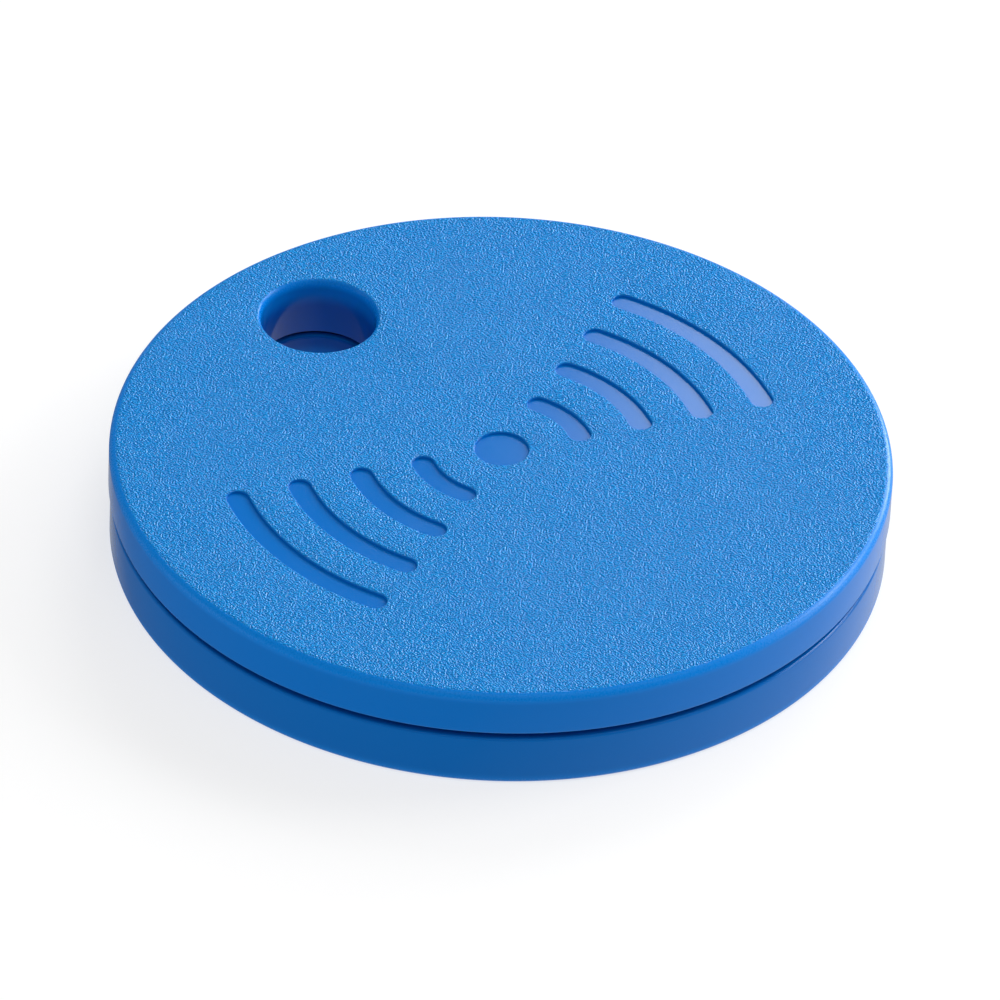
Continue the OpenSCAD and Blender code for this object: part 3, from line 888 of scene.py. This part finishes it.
def inductor():
    """A ferrite drum on a square foot, wound with two layers of five turns."""
    foot = soft_block("inductor_core", 3, 3, 0, 0.3, 0.35, 0.04)
    outline = rounded([(0, 0.2), (0.9, 0.2), (0.9, 0.9), (1.45, 0.9, 0.05), (1.45, 1.2, 0.06), (0, 1.2)])
    combine(foot, [revolve("drum", outline, 72)], "UNION")
    wire_r = 0.058
    pitch = 0.117
    turns = []
    for layer in (1.12, 1.2):
        for k in range(5):
            centre = (layer, 0.37 + pitch * k)
            turns.append(revolve("turn", arc(centre, wire_r, 0, 360, 10)[:-1], 64))
    return seat(foot, *INDUCTOR), seat(join("inductor_winding", turns), *INDUCTOR)


# ------------------------------------------------------------------ contacts, switch and sounder


def positive_contact():
    """A strip soldered to the board that curls over and presses on the side of the cell."""
    thick, curl, bend = 0.15, 0.6, 0.2
    flat = BOARD_TOP + thick / 2
    middle = (CELL_R + 0.02 + curl, BOARD_TOP + curl + thick)
    stem = middle[0] + curl - thick / 2
    path = [(stem + 2, flat), (stem + 0.6, flat)]
    path += arc((stem + bend, flat + bend), bend, 270, 180, 5)
    path += arc(middle, curl - thick / 2, 0, 232, 30)
    return place(band("positive_strip", path, thick, 2.4), -35, at=CELL)


def negative_contact():
    """A slotted leaf with three pressed dimples, and a tail bent up to the board."""
    thick, radius = 0.12, 4
    disc = [(0, WALL), (radius, WALL), (radius, WALL + thick), (0, WALL + thick)]
    leaf = revolve("negative_leaf", disc, 96)
    slots = [place(soft_block("slot", radius, 0.5, WALL - OVER, WALL + OVER, 0.24), angle, 1.2 + radius / 2)
             for angle in (60, 180, 300)]
    combine(leaf, slots, "DIFFERENCE")
    peak = CELL_LOW - 0.02
    dimple = rounded([(0, WALL + 0.05), (0.5, WALL + 0.05), (0.34, peak, 0.12), (0, peak)])
    extras = [place(revolve("dimple", dimple, 32), angle, 2.8) for angle in (0, 120, 240)]
    riser = BOARD_CUT_R + 0.25 - thick / 2
    low, high = WALL + thick / 2, BOARD_LOW - thick / 2
    path = [(radius - 0.5, low), (riser - 0.15, low)]
    path += arc((riser - 0.15, low + 0.15), 0.15, 270, 360, 5)[1:]
    path += arc((riser + 0.12, high - 0.12), 0.12, 180, 90, 5)
    path += [(riser + 1.34, high)]
    extras.append(band("tail", path, thick, 2))
    return place(combine(leaf, extras, "UNION"), 215, at=CELL)


def loop_contact(name, x, high):
    """A half-loop spring leaf from the board up to the sounder."""
    thick = 0.1
    loop = (high - BOARD_TOP) / 2
    path = [(1, BOARD_TOP + thick / 2), (0.1, BOARD_TOP + thick / 2)]
    path += arc((0, BOARD_TOP + loop), loop - thick / 2, 270, 90, 24)
    path += [(0.5, high - thick / 2)]
    return place(place(band(name, path, thick, 0.9), 90), at=(x, PIEZO[1]))


def switch_base():
    """The switch's moulded box, open at the top."""
    base = soft_block("switch_body", SWITCH_W, SWITCH_W, BOARD_TOP, SWITCH_TOP, 0.25, 0.03)
    well = rounded([(0, WELL_Z), (1.3, WELL_Z, 0.05), (1.3, 4), (0, 4)], 3)
    combine(base, [revolve("well", well, 64)], "DIFFERENCE")
    return place(base, at=SWITCH)


def switch_feet():
    """Tinned terminals at the switch's four corners."""
    feet = [place(soft_block("foot", 0.5, 0.5, -0.01, 0.14, 0.06, 0.03), at=(x, y))
            for x in (-1.62, 1.62) for y in (-1.1, 1.1)]
    return place(join("switch_feet", feet), lift=BOARD_TOP, at=SWITCH)


def switch_frame():
    """The plate that keeps the plunger in, with a leg down each side."""
    plate = soft_block("switch_plate", SWITCH_W, SWITCH_W, SWITCH_TOP, SWITCH_TOP + 0.1, 0.3, 0.03)
    legs = [place(soft_block("leg", 1.6, 0.1, BOARD_TOP, SWITCH_TOP + 0.08, 0.03, 0.02),
                  at=(0, side * (SWITCH_W + 0.1) / 2)) for side in (-1, 1)]
    combine(plate, [revolve("eye", [(0, 2), (0.9, 2), (0.9, 4), (0, 4)], 64)], "DIFFERENCE")
    return place(join("switch_plate", [plate] + legs), at=SWITCH)


def switch_dome():
    """A snap dome: a shallow shell that stands in the switch's well."""
    foot, rise, thick = 1.2, 0.32, 0.06
    ball = (foot ** 2 + rise ** 2) / (2 * rise)
    angles = [k / 12 * 2 * atan2(rise, foot) for k in range(13)]
    outer = [(ball * sin(t), WELL_Z + rise - ball * (1 - cos(t))) for t in angles]
    inner = [(r * (1 - thick / ball), z - thick) for r, z in outer if z - thick > WELL_Z]
    rim = [(outer[-1][0] - thick, WELL_Z)]
    return revolve("snap_dome", outer[::-1] + inner + rim, 64, SWITCH)


def switch_plunger():
    outline = rounded([(0, STEM_LOW), (1.15, STEM_LOW, 0.04), (1.15, 2.85, 0.04), (STEM_R, 2.85),
                       (STEM_R, PLUNGER_TOP, 0.12), (0, PLUNGER_TOP)])
    return revolve("switch_stem", outline, 64, SWITCH)


def sounder_plate():
    low, high = PLATE_Z, PLATE_Z + 0.1
    outline = rounded([(0, low), (PLATE_R, low, 0.03), (PLATE_R, high, 0.03), (0, high)], 3)
    return revolve("sounder_plate", outline, 180, PIEZO)


def sounder_ceramic():
    low, high = CERAMIC_Z, CERAMIC_Z + 0.08
    outline = rounded([(0, low), (CERAMIC_R, low, 0.02), (CERAMIC_R, high), (0, high)], 3)
    return revolve("sounder_ceramic", outline, 180, PIEZO)


def sounder_glue():
    low, inner = ROOF - 0.1, PLATE_R - 1
    return revolve("sounder_glue", [(inner, low), (PLATE_R, low), (PLATE_R, ROOF), (inner, ROOF)], 180, PIEZO)


def damper():
    low = ROOF - 0.36
    outline = rounded([(8.2, low, 0.06), (9.6, low, 0.06), (9.6, ROOF), (8.2, ROOF)], 4)
    return sector("cell_foam", outline, 180, 44, CELL, 32)


# ------------------------------------------------------------------ coin cell


def cell_can():
    """The positive cup, face up, with a plus pressed into it."""
    outline = rounded([(0, CELL_TOP - CAN_T), (CELL_R - CAN_T, CELL_TOP - CAN_T),
                       (CELL_R - CAN_T, CRIMP_Z + CAN_T), (CRIMP_IN, CRIMP_Z + CAN_T),
                       (CRIMP_IN, CRIMP_Z, 0.08), (CELL_R, CRIMP_Z, 0.3), (CELL_R, CELL_TOP, 0.35),
                       (0, CELL_TOP)], 8)
    can = revolve("cell_can", outline, 240, CELL)
    floor = CELL_TOP - 0.06
    plus = (CELL[0], CELL[1] + 6)
    bars = [place(soft_block("bar", 2.6, 0.5, floor, floor + OVER, 0.1, 0.02), angle, at=plus)
            for angle in (0, 90)]
    return combine(can, bars, "DIFFERENCE")


def cell_cap():
    """The negative cup, with the step that the gasket grips."""
    flange = CRIMP_Z + CAN_T + 0.15
    inner, face = CAP_R - CAN_T, CELL_LOW + CAN_T
    outline = rounded([(0, CELL_LOW), (CAP_R, CELL_LOW, 0.2), (CAP_R, flange), (FLANGE_R, flange),
                       (FLANGE_R, flange + 0.2), (inner, flange + 0.2), (inner, face), (0, face)], 8)
    return revolve("cell_cap", outline, 240, CELL)


def cell_gasket():
    low = CRIMP_Z + CAN_T
    can_in = CELL_R - CAN_T
    outline = rounded([(CAP_R, CRIMP_Z + 0.05, 0.05), (CRIMP_IN, CRIMP_Z + 0.05, 0.05), (CRIMP_IN, low),
                       (can_in, low), (can_in, CELL_TOP - CAN_T), (FLANGE_R, CELL_TOP - CAN_T),
                       (FLANGE_R, low + 0.15), (CAP_R, low + 0.15)], 4)
    return revolve("cell_gasket", outline, 240, CELL)


lacquer = solder_mask()
edge = laminate()
gold = gilded("gold_plate")
spring = gilded("spring_plate", (0.78, 0.74, 0.66))
tin = gilded("tin_plate", (0.72, 0.72, 0.7), 0.3)
epoxy = chip_plastic()
board = dress(circuit_board(), lacquer, "rear_case", ["circuit_board"])
board.data.materials.append(edge)
for face in board.data.polygons:
    face.material_index = int(abs(face.normal.z) < 0.5)
dress(board_traces(), raised_mask(), "rear_case")
dress(board_vias(), gold, "rear_case")

dress(chip("radio_package", *RADIO, 5, 5, 0.85, 0.25), epoxy, "rear_case", ["radio_chip"])
dress(chip_leads("radio_leads", *RADIO, 5, 8, 0.5), tin, "rear_case")
dress(chip("driver_package", *DRIVER, 2, 2, 0.75, 0.13), epoxy, "rear_case", ["driver_chip"])
dress(chip_leads("driver_leads", *DRIVER, 2, 3, 0.5), tin, "rear_case")

tray_ceramic = fired_ceramic("tray_ceramic", (0.33, 0.3, 0.26))
lid_metal = gilded("lid_metal", (0.68, 0.68, 0.66), 0.25)
for node, spot, sizes in (("main_crystal", MAIN_CRYSTAL, (1.6, 2, 0.5)),
                          ("clock_crystal", CLOCK_CRYSTAL, (1.5, 3.2, 0.75))):
    tray, lid = crystal(node.replace("_", "-"), *spot, *sizes)
    dress(tray, tray_ceramic, "rear_case")
    dress(lid, lid_metal, "rear_case", [node])

block, metal = antenna()
dress(block, fired_ceramic("antenna_ceramic", (0.72, 0.74, 0.7), 0.4), "rear_case",
      ["chip_antenna"])
dress(metal, tin, "rear_case")
core, winding = inductor()
dress(core, fired_ceramic("ferrite", (0.045, 0.045, 0.05), 0.55), "rear_case",
      ["boost_inductor"])
dress(winding, copper_wire(), "rear_case")
bodies, ends = passives("capacitor", CAPACITORS, 0.5, 0.48)
dress(bodies, fired_ceramic("capacitor_body", (0.36, 0.22, 0.12), 0.45), "rear_case",
      ["capacitors"])
dress(ends, tin, "rear_case")
bodies, ends = passives("resistor", RESISTORS, 0.35, 0.33)
dress(bodies, fired_ceramic("resistor_body", (0.025, 0.025, 0.028), 0.3), "rear_case",
      ["resistors"])
dress(ends, tin, "rear_case")

dress(positive_contact(), spring, "rear_case", ["positive_contact"])
dress(negative_contact(), spring, "rear_case", ["negative_contact"])
inner_leaf = loop_contact("inner_leaf", 11.45, INNER_LEAF_TOP)
outer_leaf = loop_contact("outer_leaf", 13.2, OUTER_LEAF_TOP)
dress(inner_leaf, gold, "rear_case", ["sounder_contact_inner"])
dress(outer_leaf, gold, "rear_case", ["sounder_contact_outer"])
give_way(inner_leaf)
give_way(outer_leaf)

switch_metal = gilded("switch_metal", (0.66, 0.66, 0.64), 0.3)
dress(switch_base(), dark_plastic("switch_plastic"), "rear_case", ["switch_base"])
dress(switch_feet(), tin, "rear_case")
dress(switch_frame(), switch_metal, "rear_case", ["switch_frame"])
dome = dress(switch_dome(), switch_metal, "rear_case", ["switch_dome"])
dress(switch_plunger(), dark_plastic("plunger_plastic", (0.08, 0.08, 0.085)), "plunger",
      ["switch_plunger"])
give_way(dome)

dress(sounder_plate(), turned_steel("sounder_brass", PIEZO, (0.75, 0.55, 0.22)), "front",
      ["piezo_plate"])
dress(sounder_ceramic(), silvered_ceramic(), "front", ["piezo_ceramic"])
dress(sounder_glue(), adhesive(), "front", ["piezo_adhesive"])
dress(damper(), foam(), "front", ["cell_damper"])

steel = turned_steel("cell_steel", CELL)
dress(cell_can(), steel, "coin_cell", ["coin_cell_can"])
dress(cell_cap(), steel, "coin_cell", ["coin_cell_cap"])
dress(cell_gasket(), dark_plastic("cell_gasket_plastic", (0.05, 0.05, 0.055)), "coin_cell",
      ["coin_cell_gasket"])
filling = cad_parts["coin_cell_electrodes"].data
filling.materials.clear()
filling.materials.append(dark_plastic("cell_filling", (0.02, 0.02, 0.02)))


# ------------------------------------------------------------------ studio

SOFTBOX_AWAY = 450
FILL_SIZE = 300


def direction(azimuth, elevation):
    """Unit vector away from the tag; azimuth 0 is the front and 90 the right."""
    turn, rise = radians(azimuth), radians(elevation)
    return Vector((sin(turn) * cos(rise), -cos(turn) * cos(rise), sin(rise)))


def softbox(name, azimuth, elevation, size, power):
    """A square area light that faces the tag."""
    lamp = bpy.data.lights.new(name, "AREA")
    lamp.size = size * MM
    lamp.energy = power
    box = bpy.data.objects.new(name, lamp)
    away = direction(azimuth, elevation)
    box.location = away * SOFTBOX_AWAY * MM
    box.rotation_euler = away.to_track_quat("Z", "Y").to_euler()
    bpy.context.scene.collection.objects.link(box)
    return box


def studio_floor():
    """A wide pale board under the tag, with an even glow of its own."""
    floor = soft_block("studio_floor", 3000, 3000, -20, -0.001, 50, 2)
    look = Look("floor_paint", (0.35, 0.35, 0.35), 0.9, specular=0.1)
    look.vary(look.noise(60, 2), 0.004)
    look.shader.inputs["Emission Color"].default_value = (1, 1, 1, 1)
    look.shader.inputs["Emission Strength"].default_value = 0.67
    floor.data.materials.append(look.material)
    floor.visible_glossy = False


def studio_air(above, below):
    """Even light from all sides, and a brighter glow from under the tag's front and right sides."""
    world = bpy.data.worlds.new("studio_air")
    world.use_nodes = True
    tree = world.node_tree
    coords = tree.nodes.new("ShaderNodeTexCoord")
    toward = tree.nodes.new("ShaderNodeVectorMath")
    toward.operation = "DOT_PRODUCT"
    toward.inputs[1].default_value = (0.6, -0.3, -0.74)
    glow = tree.nodes.new("ShaderNodeMapRange")
    for socket, value in zip(glow.inputs[1:], (0.25, 0.95, above, below)):
        socket.default_value = value
    tree.links.new(coords.outputs["Generated"], toward.inputs[0])
    tree.links.new(toward.outputs["Value"], glow.inputs[0])
    air = tree.nodes["Background"]
    air.inputs["Color"].default_value = (1, 1, 1, 1)
    tree.links.new(glow.outputs[0], air.inputs["Strength"])
    bpy.context.scene.world = world


def camera(aim, azimuth, elevation, distance, lens, roll):
    """A camera that looks at aim from far off, rolled about its line of sight."""
    away = direction(azimuth, elevation)
    optics = bpy.data.cameras.new("camera")
    optics.lens = lens
    optics.clip_start = 0.01
    eye = bpy.data.objects.new("camera", optics)
    turn = away.to_track_quat("Z", "Y").to_matrix().to_4x4() @ Matrix.Rotation(radians(roll), 4, "Z")
    eye.matrix_world = Matrix.Translation((Vector(aim) + away * distance) * MM) @ turn
    bpy.context.scene.collection.objects.link(eye)
    bpy.context.scene.camera = eye


studio_floor()
studio_air(0.17, 0.85)
SOFTBOXES = (                   # name, azimuth, elevation, size, power
    ("back_panel", 103, 38, 390, 0.5),
    ("back_low", 97, 12, 170, 0.8),
    ("back_edge", 120.3, 36, 190, 0.62),
    ("right_high", 67, 32, 170, 0.75),
    ("right_low", 52, 12, 220, 0.4),
    ("front_right", 17, 55, 170, 0.08),
)
FILLS = (                       # the same without a size: even light that isn't seen in reflections
    ("front_fill", -43, 62, 0.65),
    ("left_fill", -125, 6, 0.55),
)
for name, azimuth, elevation, size, power in SOFTBOXES:
    softbox(name, azimuth, elevation, size, power)
for name, azimuth, elevation, power in FILLS:
    softbox(name, azimuth, elevation, FILL_SIZE, power).visible_glossy = False
camera(aim=(1.82, 1.88, 0), azimuth=-43.2, elevation=38.2, distance=500, lens=399.5, roll=2.77)
bpy.context.scene.view_settings.view_transform = "Standard"
